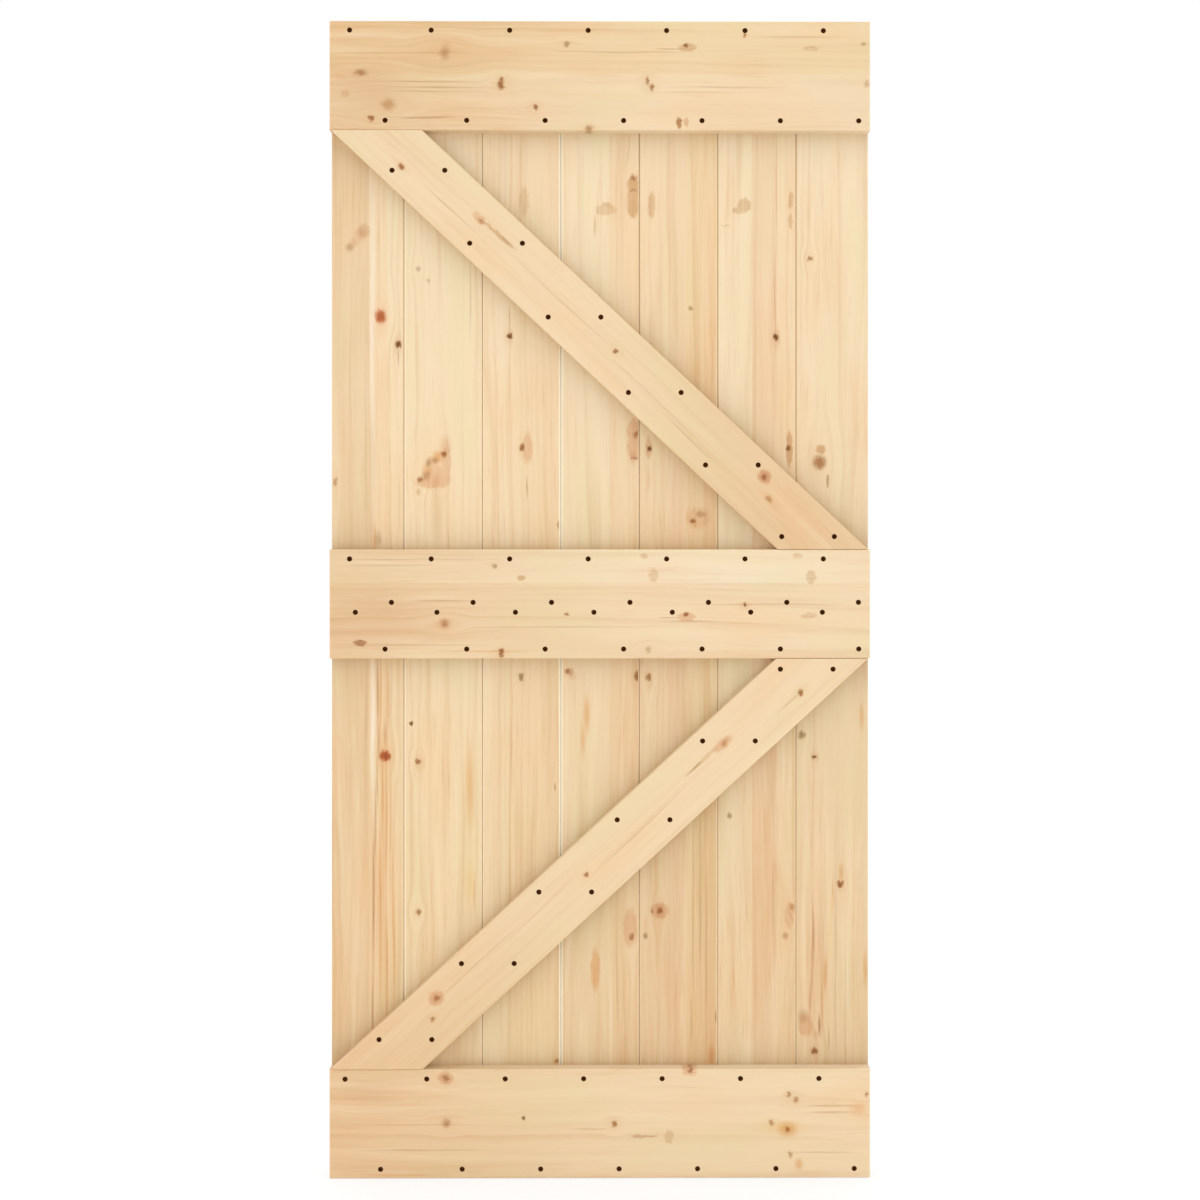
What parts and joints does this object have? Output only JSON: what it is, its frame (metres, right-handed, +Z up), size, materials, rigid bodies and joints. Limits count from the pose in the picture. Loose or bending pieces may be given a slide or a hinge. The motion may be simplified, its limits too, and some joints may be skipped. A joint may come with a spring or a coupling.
{
  "type": "sliding barn door leaf",
  "caption": "Sliding barn door leaf of bare knotty pine: upright tongue-and-groove planks held flat by level rails and slanted braces, hung by its top rail.",
  "frame": {"origin": "centre of the top rail's front face, where strap hangers are bolted on", "axes": "+X to the right along the leaf, +Y from its front face to its back, +Z up"},
  "size_m": [1, 0.036, 2.14],
  "materials": {
    "plank_pine": "bare planed pine, unfinished",
    "rail_pine": "bare planed pine, unfinished",
    "brace_pine": "bare planed pine, unfinished",
    "screw_steel": "dark bronze coating, satin"
  },
  "bodies": {
    "root": {"plank_1": "plank_pine", "plank_2": "plank_pine", "plank_3": "plank_pine", "plank_4": "plank_pine", "plank_5": "plank_pine", "plank_6": "plank_pine", "plank_7": "plank_pine", "top_rail": "rail_pine", "middle_rail": "rail_pine", "bottom_rail": "rail_pine", "upper_brace": "brace_pine", "lower_brace": "brace_pine"}
  },
  "joints": []
}
